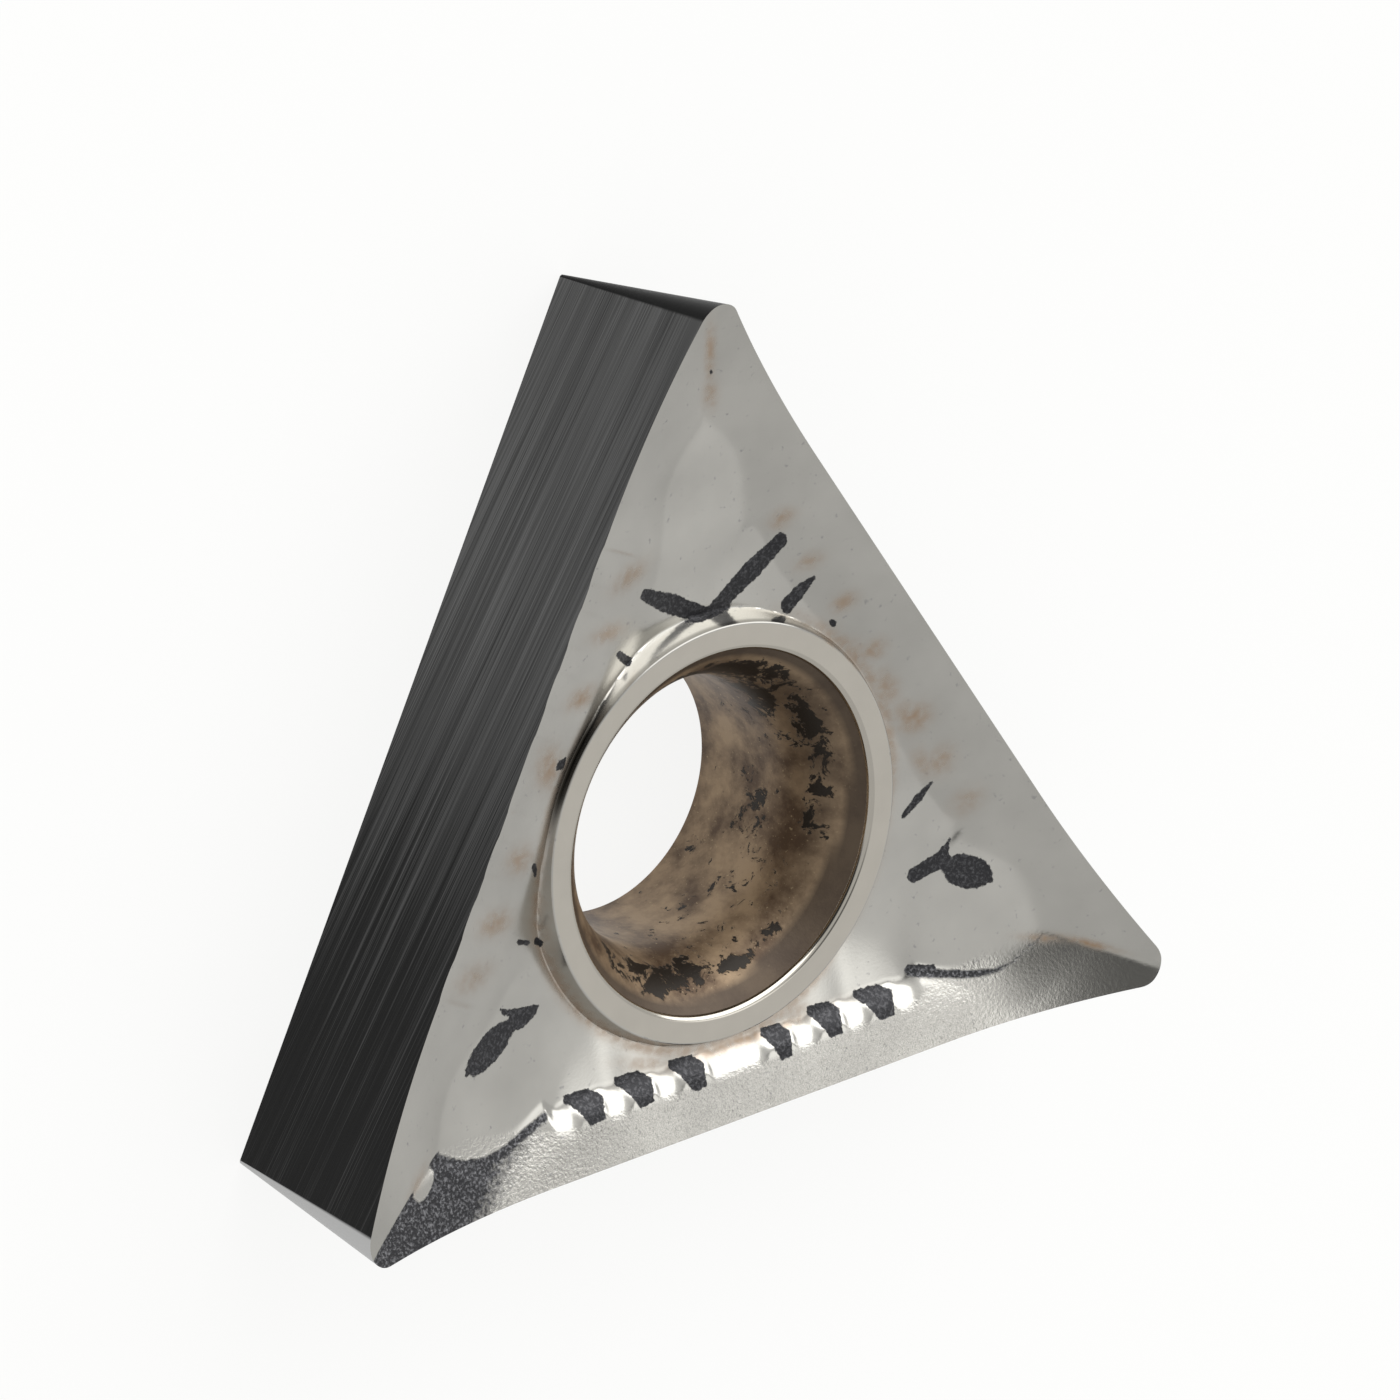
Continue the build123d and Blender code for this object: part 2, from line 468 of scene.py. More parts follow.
@dataclass(frozen=True)
class Marks:
    """Patches that the polishing missed and the stains, in the plan the photograph's view gives at 3.1 mm."""
    # Among these marks are painted light: the dark strip and crease line on the front rake, the dark band on
    # the boss's wall, and the shade in the hole's mouth and on the -X flank.
    plane_z: float = 3.1
    lean: tuple = (0.7745, -0.5322)

    # Bare strokes: start, end and the half width at each
    strokes: tuple = (
        ((0.22, 3.70), (0.95, 4.10), 0.13, 0.19), ((0.95, 4.10), (1.58, 4.42), 0.19, 0.14),
        ((-0.06, 3.70), (-0.66, 4.04), 0.13, 0.17), ((-0.66, 4.04), (-1.12, 4.33), 0.17, 0.11),
        ((1.66, 3.32), (1.92, 3.48), 0.15, 0.12), ((1.92, 3.48), (2.20, 3.61), 0.12, 0.04),
        ((2.50, 2.76), (2.54, 2.72), 0.06, 0.05), ((3.70, -0.88), (4.00, -0.68), 0.05, 0.09),
        ((4.00, -0.68), (4.28, -0.51), 0.08, 0.03), ((-1.72, 3.52), (-1.54, 3.34), 0.06, 0.08),
        ((3.60, -3.46), (4.10, -3.61), 0.07, 0.07), ((0.42, 7.60), (0.41, 7.68), 0.03, 0.02),
        ((-3.63, 0.52), (-3.62, 0.36), 0.05, 0.03), ((-4.03, -0.62), (-3.85, -0.70), 0.04, 0.05),
        ((-3.66, -0.72), (-3.60, -0.80), 0.06, 0.04), ((-5.20, -2.50), (-4.9, -2.36), 0.04, 0.16),
        ((5.36, -2.50), (5.1, -2.34), 0.04, 0.18), ((3.82, -1.93), (4.40, -1.84), 0.13, 0.15),
        ((4.40, -1.80), (4.58, -1.55), 0.13, 0.02),
    )
    # Bare ovals: centre, half sizes and turn in degrees
    ovals: tuple = (
        ((0.08, 3.67), (0.46, 0.12), 0), ((-4.72, -2.21), (0.56, 0.26), 33), ((4.88, -2.20), (0.54, 0.27), -28),
    )
    # Bare patches by their corners
    patches: tuple = (
        ((-3.10, 1.98), (-3.04, 2.14), (-2.88, 2.14), (-2.93, 1.93)),
        ((-4.50, -1.60), (-4.44, -1.72), (-4.30, -1.80), (-4.38, -1.98), (-4.10, -2.10), (-3.78, -1.94),
         (-3.70, -1.80), (-3.80, -1.76), (-4.20, -1.70), (-4.34, -1.66)),
    )
    # Bare teeth on the front side's ribs: one shape, and the X, the distance out and the width of each
    tooth: tuple = ((-0.42, 0.0), (0.08, 0.03), (0.36, 0.24), (0.40, 0.66), (0.10, 0.68), (-0.06, 0.46),
                    (-0.20, 0.30), (-0.42, 0.13))
    teeth: tuple = ((-2.92, 3.44, 1.0), (-1.92, 3.45, 0.95), (-0.86, 3.51, 0.9), (0.93, 3.53, 0.75),
                    (1.90, 3.46, 0.85), (2.90, 3.48, 1.0))
    # Brown stains: centre, width, height, turn in degrees and strength
    spots: tuple = (
        ((-1.42, 4.74), 0.34, 0.16, 20, 0.45), ((-1.92, 3.93), 0.30, 0.14, 0, 0.45),
        ((-2.50, 3.02), 0.26, 0.15, 10, 0.6), ((-3.22, 2.05), 0.24, 0.32, 0, 0.55),
        ((-3.90, 0.72), 0.24, 0.2, 0, 0.5), ((-4.46, -0.18), 0.3, 0.2, 0, 0.5),
        ((-4.95, -0.95), 0.34, 0.2, 10, 0.35), ((1.63, 4.78), 0.24, 0.14, 0, 0.5),
        ((2.13, 3.91), 0.26, 0.13, 0, 0.4), ((2.76, 3.02), 0.24, 0.14, 0, 0.5),
        ((3.28, 2.05), 0.24, 0.16, 0, 0.5), ((4.02, 0.66), 0.3, 0.2, 0, 0.65),
        ((4.50, -0.20), 0.26, 0.22, 0, 0.45), ((4.95, -1.03), 0.3, 0.2, 0, 0.35),
        ((0.42, 7.95), 0.10, 0.45, -6, 0.55), ((0.38, 7.25), 0.14, 0.22, 0, 0.5),
        ((6.35, -3.80), 0.45, 0.07, -20, 0.6), ((7.2, -4.15), 0.6, 0.06, -28, 0.7),
        ((-6.3, -4.0), 0.10, 0.3, -35, 0.3), ((2.45, 2.48), 0.30, 0.20, -60, 0.4),
        ((2.94, 2.05), 0.30, 0.20, -50, 0.45), ((3.50, 1.36), 0.32, 0.2, -55, 0.45),
        ((3.87, 0.73), 0.30, 0.20, -50, 0.45), ((4.12, -0.12), 0.30, 0.16, -60, 0.35),
        ((0.3, -3.62), 1.6, 0.12, 0, 0.55), ((-1.6, -3.45), 0.6, 0.12, -20, 0.35),
        ((1.3, -3.50), 0.3, 0.2, 0, 0.3),
    )
    stain_gain: float = 1.25
    # Crusts in the hole: azimuth and width in degrees, depth below the land and height in mm, weight
    crust_heaps: tuple = (
        (66, 30, 0.60, 0.42, 1.35), (24, 26, 0.62, 0.26, 1.30), (44, 30, 1.15, 0.60, 1.00),
        (-112, 34, 0.55, 0.36, 1.12), (-80, 22, 0.52, 0.14, 1.10), (-8, 14, 0.72, 0.22, 1.05),
        (-18, 16, 1.85, 0.6, 0.75), (94, 14, 0.70, 0.40, 1.05), (-50, 40, 1.6, 0.9, 0.45),
    )
    # Noses: azimuth in degrees and tone of the round, negative for near black and positive for pale
    nose_tones: tuple = ((90, -1.0), (210, 1.0), (330, 0.5))
    # Small polished oval behind the front side's -X nose: centre, half sizes and turn in degrees
    glint: tuple = ((-6.48, -3.84), (0.30, 0.17), 38)

    def seen_at(self, x: Array, y: Array, z: Array) -> Array:
        """Plan point on the mark plane that lies behind each surface point in that view."""
        drop = z - self.plane_z
        return np.stack([x + drop * self.lean[0], y + drop * self.lean[1]], axis=1)

    def bare_patches(self, p: Array) -> Array:
        """Depth inside the dark unpolished patches, in mm."""
        depth = [capsule(p, *stroke) for stroke in self.strokes]
        depth += [ellipse(p, *oval) for oval in self.ovals]
        depth += [polygon(p, corners) for corners in self.patches]
        for x, n, wide in self.teeth:
            depth.append(polygon(p, tuple((x + u * wide, -(n + v)) for u, v in self.tooth)))
        return np.max(depth, axis=0)

    def stains(self, p: Array, r: Array) -> Array:
        """Strength of the brown heat stains, 0 to 1."""
        total = np.zeros(len(p))
        for centre, wide, tall, turn, level in self.spots:
            u, v = turned(p, centre, turn)
            u, v = u / wide, v / tall
            total = np.maximum(total, level * np.exp(-(u * u + v * v)))
        azimuth = np.degrees(np.arctan2(p[:, 1], p[:, 0]))
        foot = 0.50 * np.exp(-((r - 3.57) / 0.12) ** 2) * (1 - np.exp(-((azimuth - 95) / 42) ** 4))
        return np.clip(np.maximum(total * self.stain_gain, foot), 0, 1)

    def wall_film(self, x: Array, y: Array, side: Array, form: ChipBreaker) -> Array:
        """Strength of the brown film on the small steps of the side that the polish wore most."""
        step = 0.02
        slope = np.hypot(form.height(x + step, y) - form.height(x - step, y),
                         form.height(x, y + step) - form.height(x, y - step)) / (2 * step)
        away = smooth_step(form.land_r + 0.22, form.land_r + 0.34, np.hypot(x, y))
        return np.where(side == WORN_SIDE, 0.25 * smooth_step(0.34, 0.60, slope) * away, 0.0)

    def pressed_grain(self, n: Array, s: Array, side: Array, form: ChipBreaker) -> Array:
        """How granular the rake is, 0 to 1: only along the edge facing -Y, most at its -X end."""
        end_n = form.edge_n - form.rake_width
        rake = smooth_step(end_n - 0.12, end_n + 0.02, n + np.clip(np.abs(s) - form.fluted_half, 0, 2) * 0.25)
        rake = rake * (1 - smooth_step(-0.06, 0.04, self.nose_glint(n, s)))
        along = 0.50 + 0.5 * (1 - smooth_step(-4.5, -1.5, s)) - 0.40 * smooth_step(4.2, 5.6, s)
        return np.where(side == FRONT_SIDE, rake * along, 0.0)

    def dark_reflection_strip(self, n: Array, s: Array, side: Array, form: ChipBreaker) -> Array:
        """Strength of the painted dark reflection on that rake, with its grain, 0 to 1: from its -X nose to the
        third flute, and a painted dark line of shade along the recess's toe.
        """
        outside = form.recess_outside(n, s)
        # Painted dark reflection, full at the -X nose and fading along the side
        fade = 1 - smooth_step(-1.3, 1.3, s + 3.9 + 1.3 * (n - 3.67))
        edge = np.exp(-((outside - 0.07) / 0.09) ** 2)
        polished = smooth_step(-0.03, 0.04, self.nose_glint(n, s))
        strip = smooth_step(-0.05, 0.02, outside) * np.maximum(fade, edge) * (1 - polished)
        strip = strip * (1 - smooth_step(-3.80, -3.62, s))
        # Painted shade: a dark line along the recess's toe
        wide = 0.09 - 0.04 * smooth_step(4.2, 6.0, s)
        along = smooth_step(3.50, 3.60, s) * (1 - 0.30 * smooth_step(4.6, 5.4, s))
        along = along * (1 - smooth_step(6.0, 6.3, s))
        off_line = np.abs(outside - 0.06 * smooth_step(4.6, 5.6, s))
        crease = np.clip(1.3 - off_line / wide, 0, 1) * along
        return np.where(side == FRONT_SIDE, np.maximum(strip, crease), 0.0)

    def nose_glint(self, n: Array, s: Array) -> Array:
        """Depth inside the small polished oval behind the -X nose, in mm."""
        return ellipse(np.column_stack([s, -n]), *self.glint)

    def land_line_and_painted_wall_reflection(self, x: Array, y: Array, form: ChipBreaker) -> Array:
        """Strength of the dark line round the land's edge and of the painted dark reflection on a stretch of
        the boss's wall.
        """
        out, azimuth = np.hypot(x, y) - form.land_r, np.degrees(np.arctan2(y, x))
        line = 0.75 * np.exp(-((out - 0.012) / 0.016) ** 2) * smooth_step(30, 60, azimuth)
        line = line * (1 - smooth_step(150, 165, azimuth))
        # Painted dark reflection on the boss's wall from azimuth 116 to 172 degrees
        band = np.exp(-((out - 0.05) / 0.036) ** 4) * smooth_step(116, 138, azimuth)
        band = band * (1 - smooth_step(152, 172, azimuth))
        return np.maximum(line, band)

    def crusts(self, azimuth: Array, below: Array) -> Array:
        """Weight of the black crusts in the hole, by azimuth in degrees and depth below the land in mm."""
        total = np.zeros(len(azimuth))
        for aim, wide, depth, tall, level in self.crust_heaps:
            off = (azimuth - aim + 180) % 360 - 180
            total = np.maximum(total, level * np.exp(-(off / wide) ** 2 - ((below - depth) / tall) ** 2))
        limit = self.band_depth(azimuth)
        under_band = smooth_step(limit - 0.04, limit + 0.06, below)
        return total * under_band - 0.35 * (1 - under_band)

    def mouth_band_and_shade(self, azimuth: Array, below: Array) -> Array:
        """Strength of the dark band inside the hole's mouth, its reddish colour darkened with painted shade,
        and of painted shade lower down, by azimuth and depth below the land.
        """
        # The band under the rim: the skin's reddish colour, darkened as painted shade
        band = 1 - smooth_step(-0.05, 0.05, below - self.band_depth(azimuth))
        # Painted shade lower in the hole, round azimuth 25 degrees
        haze = 0.75 * np.exp(-((below - 0.6) / 0.5) ** 2 - ((azimuth - 25) / 55) ** 2)
        return np.maximum(band, haze)

    def band_depth(self, azimuth: Array) -> Array:
        """How far the plain dark band reaches down from the rim, by azimuth in degrees, in mm."""
        off = (azimuth + 50 + 180) % 360 - 180
        return 0.24 + 0.20 * np.exp(-(off / 38) ** 2)

    def flank_shade(self, s: Array, side: Array) -> Array:
        """Painted shade on the ground flank, as how much darker it is than mid grey: only the -X side darkens,
        to its lower nose.
        """
        return -0.045 + np.where(side == WORN_SIDE, 0.135 * smooth_step(-3.0, 5.5, s), 0.0)

    def nose_tone(self, x: Array, y: Array, z: Array, form: ChipBreaker) -> Array:
        """Tone of the ground noses' round: negative is near black, positive pale."""
        tone = np.zeros(len(x))
        inner = form.inscribed_r - (form.thickness - z) * form.relief
        corner = form.seat_corner_r + (form.nose_r - form.seat_corner_r) * z / form.thickness
        for azimuth, level in self.nose_tones:
            a = math.radians(azimuth)
            across = np.abs(-x * math.sin(a) + y * math.cos(a))
            ahead = x * math.cos(a) + y * math.sin(a) - 2 * (inner - corner)
            swing = np.degrees(np.arctan2(across, ahead))
            tone += level * (ahead > 0) * (1 - smooth_step(52, 60, swing))
        return tone


@dataclass
class InsertSkin:
    """The insert's closed skin, with the data its finishes read."""
    form: ChipBreaker = field(default_factory=ChipBreaker)
    marks: Marks = field(default_factory=Marks)
    side_columns: int = 280
    nose_columns: int = 16
    bore_rows: int = 4
    mouth_rows: int = 15
    rim_rows: int = 7
    foot_rows: int = 20
    face_rows: int = 60
    flank_shares: tuple = (0.25, 0.5, 0.75)
    rim_share: float = 0.8
    foot_inset: float = 0.03
    foot_reach: float = 0.30
    edge_passes: int = 12
    weld: float = 0.0008
    crease_deg: float = 28
    grinding_tilt: float = 0.15
    side_shift: float = 37.0
    name: str = "insert_skin"

    def columns(self) -> Array:
        """Outline parameters of the columns round the hole, closed on itself."""
        arc, turns = self.form.nose_arc, []
        for nose in range(3):
            turns.append(nose + np.linspace(-arc, arc, self.nose_columns + 1)[:-1])
            turns.append(nose + np.linspace(arc, 1 - arc, self.side_columns + 1)[:-1])
        turn = np.concatenate(turns)
        return np.append(turn, turn[0] + 3)

    def edge_points(self, turn: Array) -> Array:
        """Cutting edge: where the top face meets the ground flank."""
        z = np.full(len(turn), self.form.edge_z)
        for _ in range(self.edge_passes):
            plan = self.form.outline(turn, z)
            z = np.minimum(self.form.height(plan[:, 0], plan[:, 1]), self.form.thickness)
        return np.column_stack([self.form.outline(turn, z), z])

    def section_rows(self, turn: Array) -> tuple[list[Array], list[Zone]]:
        """Loops of points from the seat's hole edge up the bore, over the top, down the flank and back.

        Args:
            turn: Outline parameters of the columns.

        Returns:
            The loops, and the zone of the faces that start at each loop.
        """
        f = self.form
        edge = self.edge_points(turn)
        out_r = np.linalg.norm(edge[:, :2], axis=1)
        way = edge[:, :2] / out_r[:, None]
        loops, zones = [], []

        def add(plan: Array, z: Array | float, zone: Zone) -> None:
            loops.append(np.column_stack([plan, np.broadcast_to(z, len(turn))]))
            zones.append(zone)

        # Bore, trumpet mouth, rim and land
        start_z = f.land_z - f.seat_depth
        for z in np.linspace(0, start_z, self.bore_rows)[:-1]:
            add(way * f.bore_r, z, Zone.BORE)
        top_r, top_z = f.mouth_r - f.seat_rim * self.rim_share, f.land_z - f.seat_rim
        dr, dz = top_r - f.bore_r, top_z - start_z
        arc_r = (dr * dr + dz * dz) / (2 * dr)
        full = math.asin(dz / arc_r)
        for share in np.linspace(0, 1, self.mouth_rows)[:-1]:
            a = full * share
            add(way * (f.bore_r + arc_r * (1 - math.cos(a))), start_z + arc_r * math.sin(a), Zone.BORE)
        for a in np.radians(np.linspace(0, 90, self.rim_rows)):
            add(way * (top_r + f.seat_rim * (1 - math.cos(a))), top_z + f.seat_rim * math.sin(a), Zone.LAND)
        add(way * ((f.mouth_r + f.land_r) / 2), f.land_z, Zone.LAND)

        # Boss's foot, closely spaced, and then the chip breaker out to the cutting edge
        far = f.land_r + self.foot_reach
        radii = list(np.linspace(f.land_r - self.foot_inset, far, self.foot_rows)[:-1])
        radii += [far * (1 - share) + out_r * share for share in np.linspace(0, 1, self.face_rows + 1)[:-1]]
        for radius in radii:
            plan = way * np.broadcast_to(radius, len(turn))[:, None]
            add(plan, f.height(plan[:, 0], plan[:, 1]), Zone.CROWN)

        # Flank and seat
        add(edge[:, :2], edge[:, 2], Zone.FLANK)
        for share in self.flank_shares:
            z = edge[:, 2] * (1 - share)
            add(f.outline(turn, z), z, Zone.FLANK)
        base, hole = f.outline(turn, np.zeros(len(turn))), way * f.bore_r
        for plan in (base, hole + (base - hole) * 0.5, hole):
            add(plan, 0.0, Zone.SEAT)
        return loops, zones

    def build(self) -> bpy.types.Object:
        """Roll a grid primitive into the skin, close its seams and give it its data."""
        turn = self.columns()
        loops, zones = self.section_rows(turn)
        across, up = len(turn) - 1, len(loops) - 1
        deselect_all()
        bpy.ops.mesh.primitive_grid_add(x_subdivisions=across, y_subdivisions=up, size=2)
        skin = bpy.context.object
        skin.name = skin.data.name = self.name
        mesh = skin.data
        flat = np.empty(len(mesh.vertices) * 3)
        mesh.vertices.foreach_get("co", flat)
        flat = flat.reshape(-1, 3)
        column = np.rint((flat[:, 0] + 1) / 2 * across).astype(int)
        row = np.rint((flat[:, 1] + 1) / 2 * up).astype(int)
        points = np.array(loops)[row, column]
        mesh.vertices.foreach_set("co", (points * MM).ravel())
        face_rows = np.array([row[list(face.vertices)].min() for face in mesh.polygons])
        mesh.polygons.foreach_set("material_index", np.array([zone.value for zone in zones])[face_rows])
        self.add_data(mesh, points)
        bpy.ops.object.mode_set(mode="EDIT")
        bpy.ops.mesh.select_all(action="SELECT")
        bpy.ops.mesh.remove_doubles(threshold=self.weld * MM)
        bpy.ops.mesh.normals_make_consistent(inside=False)
        bpy.ops.object.mode_set(mode="OBJECT")
        bpy.ops.object.shade_smooth_by_angle(angle=math.radians(self.crease_deg))
        LOG.info("skin: %d faces", len(skin.data.polygons))
        return skin

    def add_data(self, mesh: bpy.types.Mesh, points: Array) -> None:
        """Store what the finishes read at each point.

        Args:
            mesh: The skin's mesh.
            points: Its vertices in mm.
        """
        form, marks = self.form, self.marks
        x, y, z = points.T
        n, s, side = form.folded(x, y)
        seen = marks.seen_at(x, y, z)
        azimuth, below = np.degrees(np.arctan2(y, x)), form.land_z - z
        values = {
            "bare_depth": np.clip(marks.bare_patches(seen), -0.5, 0.5),
            # dark line round the land and painted dark reflection on the boss's wall
            "land_line_and_wall_reflection": marks.land_line_and_painted_wall_reflection(x, y, form),
            "stain": np.maximum(marks.stains(seen, np.hypot(x, y)), marks.wall_film(x, y, side, form)),
            "grain": marks.pressed_grain(n, s, side, form),
            "crust": marks.crusts(azimuth, below),
            # dark band in the mouth, partly painted shade
            "band": marks.mouth_band_and_shade(azimuth, below),
            # painted dark reflection and shade line on the front rake, with its grain
            "dark_reflection_and_grain": marks.dark_reflection_strip(n, s, side, form),
            # painted shade on the -X flank
            "flank_shade": marks.flank_shade(s, side),
            "nose_tone": marks.nose_tone(x, y, z, form),
        }
        for label, data in values.items():
            mesh.attributes.new(label, "FLOAT", "POINT").data.foreach_set("value", data.astype(np.float32))
        run = np.column_stack([s, z + self.grinding_tilt * s, side * self.side_shift]).astype(np.float32)
        mesh.attributes.new("wall_run", "FLOAT_VECTOR", "POINT").data.foreach_set("vector", run.ravel())


# Finishes
@dataclass(frozen=True)
class Finish:
    """What every finish shares: a name and a start on the shader."""
    name: str

    def start(self, roughness: float, metallic: float = 1.0) -> tuple:
        """Make the material with its shader and object coordinates.

        Args:
            roughness: Roughness where nothing else drives it.
            metallic: Metallic share.

        Returns:
            Material, node tree, shader and the coordinate socket.
        """
        material = bpy.data.materials.new(self.name)
        net = empty_net(material)
        shader = net.node("BsdfPrincipled", inputs={"Roughness": roughness, "Metallic": metallic})
        net.node("OutputMaterial", inputs={"Surface": shader.outputs["BSDF"]})
        return material, net, shader, net.node("TexCoord").outputs["Object"]


@dataclass(frozen=True)
class PolishedCarbide(Finish):
    """Tungsten carbide, pressed, sintered and vibratory polished: a bright warm grey that mirrors softly.

    The polish missed the deepest pockets, which stay black and granular, and the sinter heat left thin
    brown films round the flutes. Pressed grain of about 55 microns roughens the rake.
    """
    bright: str = "#C4C2BC"
    bare: str = "#3E3E40"
    # Specks: darker pits on the polish, and painted glints on the bare grains
    pit_and_glint: str = "#8A8A8D"
    stain: str = "#AB9178"
    near_black: str = "#2C2924"
    grain_mm: float = 0.055

    def material(self) -> bpy.types.Material:
        """Build the material."""
        material, net, shader, place = self.start(0.16)

        # Polished metal, with fine pits and the brown films
        tone = net.span(net.noise(place, 1.6 * MM, 3.0), 0.3, 0.7, 0.88, 1.04)
        base = net.mix(1.0, linear(self.bright), tone, "MULTIPLY")
        pits = net.span(net.noise(place, 0.11 * MM, 3.0), 0.66, 0.76, 0.0, 0.45)
        base = net.mix(pits, base, linear(self.pit_and_glint))
        mottle = net.span(net.noise(place, 0.16 * MM, 3.0), 0.35, 0.6, 0.55, 1.15)
        film = net.maths("MULTIPLY", net.stored("stain"), mottle, clamp=True)
        stained = net.mix(film, base, linear(self.stain))

        # Where the polish missed: patches with ragged edges. A strip by the -X nose is painted dark reflection
        # that thins out in scattered grains, and the bare grains get painted glints
        ragged = net.maths("MULTIPLY_ADD", net.noise(place, 0.09 * MM, 4.0, 0.65), 0.10, -0.05)
        depth = net.maths("ADD", net.stored("bare_depth"), ragged)
        patch = net.span(depth, -0.008, 0.012, ramp="SMOOTHSTEP")
        # Painted dark reflection on the front rake's -X end, broken into grains
        dark_reflection_and_grain = net.stored("dark_reflection_and_grain")
        scatter = net.maths("ADD", net.noise(place, 0.10 * MM, 5.0, 0.75), dark_reflection_and_grain)
        patch = net.maths("MAXIMUM", patch, net.span(scatter, 0.86, 1.26))
        grain = net.noise(place, self.grain_mm * MM, 3.0, 0.6)
        # Painted glints: lighter grains in the bare patches, most in the painted dark strip
        glint = net.maths("MULTIPLY", net.span(grain, 0.48, 0.70), net.span(dark_reflection_and_grain, to_low=0.35))
        bare = net.mix(glint, linear(self.bare), linear(self.pit_and_glint))
        colour = net.mix(patch, stained, bare)
        # Dark line round the land, and painted dark reflection on the boss's wall
        colour = net.mix(net.stored("land_line_and_wall_reflection"), colour, linear(self.near_black))

        # Films and bare grain scatter the light, and the pressed grain stands out
        rough = net.span(net.maths("MAXIMUM", patch, film), to_low=0.16, to_high=0.44)
        coarse = net.span(net.maths("MAXIMUM", patch, net.stored("grain")), to_low=0.03, to_high=0.9)
        bump = net.bump(grain, 0.022 * MM, coarse)
        net.feed(shader, {"Base Color": colour, "Roughness": rough, "Normal": bump})
        return material


@dataclass(frozen=True)
class GroundCarbide(Finish):
    """Tungsten carbide ground along the edge with a diamond wheel: dark, silky, with long fine lines."""
    dark: str = "#151515"
    light: str = "#6B6B6B"
    near_black: str = "#0A0A0A"
    pale: str = "#B4B4B4"
    line_mm: float = 0.028
    line_stretch: float = 0.16
    band_scale: tuple = (0.10, 3.4, 1.0)

    def material(self) -> bpy.types.Material:
        """Build the material."""
        material, net, shader, _ = self.start(0.42)
        run = net.node("Attribute", {"attribute_name": "wall_run"}).outputs["Vector"]
        fine = net.node("Mapping", inputs={"Vector": run, "Scale": (self.line_stretch, 1 / self.line_mm, 1.0)})
        wide = net.node("Mapping", inputs={"Vector": run, "Scale": self.band_scale})
        lines = net.noise(fine.outputs[0], 1.0, 4.0, 0.72)
        bands = net.span(net.noise(wide.outputs[0], 1.0, 2.0), to_low=0.36, to_high=0.64)
        # Painted shade: the -X flank darkens towards its lower nose
        lift = net.maths("SUBTRACT", net.maths("MULTIPLY", lines, bands), net.stored("flank_shade"))
        ground = net.mix(net.span(lift, 0.18, 0.42), linear(self.dark), linear(self.light))
        # Noses' rounds: pale or near black, set per nose
        nose = net.stored("nose_tone")
        colour = net.mix(nose, ground, linear(self.pale))
        colour = net.mix(net.maths("MULTIPLY", nose, -1.0), colour, linear(self.near_black))
        net.feed(shader, {"Base Color": colour, "Normal": net.bump(lines, 0.004 * MM, 0.5)})
        return material


@dataclass(frozen=True)
class LappedLand(Finish):
    """The boss's flat land and the seat rim: carbide lapped by the polish to an even light grey."""
    bright: str = "#C6C1B7"

    def material(self) -> bpy.types.Material:
        """Build the material."""
        material, net, shader, place = self.start(0.13)
        tone = net.span(net.noise(place, 0.5 * MM, 3.0), to_low=0.92, to_high=1.04)
        net.feed(shader, {"Base Color": net.mix(1.0, linear(self.bright), tone, "MULTIPLY")})
        return material


@dataclass(frozen=True)
class SinteredSkin(Finish):
    """The hole as it left the furnace: a matt mottled brown skin with blackish crusts below the mouth, and
    under the rim a dark band that is partly painted shade.
    """
    skin: str = "#A38C70"
    deep: str = "#584534"
    fleck: str = "#AC9878"
    rim: str = "#44382D"
    crust: str = "#241D15"

    def material(self) -> bpy.types.Material:
        """Build the material."""
        material, net, shader, place = self.start(0.42, 0.45)
        tone = net.span(net.noise(place, 0.9 * MM, 6.0, 0.62), 0.38, 0.62)
        colour = net.mix(tone, linear(self.deep), linear(self.skin))
        dust = net.noise(place, 0.05 * MM, 3.0)
        colour = net.mix(net.span(dust, 0.64, 0.76), colour, linear(self.fleck))
        # Dark band under the rim and painted shade below it
        colour = net.mix(net.maths("MULTIPLY", net.stored("band"), 0.88), colour, linear(self.rim))
        flakes = net.noise(place, 0.36 * MM, 8.0, 0.72, 0.5)
        piled = net.maths("MULTIPLY_ADD", net.stored("crust"), 0.20, flakes)
        crust = net.span(piled, 0.640, 0.660)
        colour = net.mix(crust, colour, linear(self.crust))
        relief = net.maths("MULTIPLY_ADD", dust, 0.4, crust)
        net.feed(shader, {"Base Color": colour, "Normal": net.bump(relief, 0.012 * MM, 0.5)})
        return material


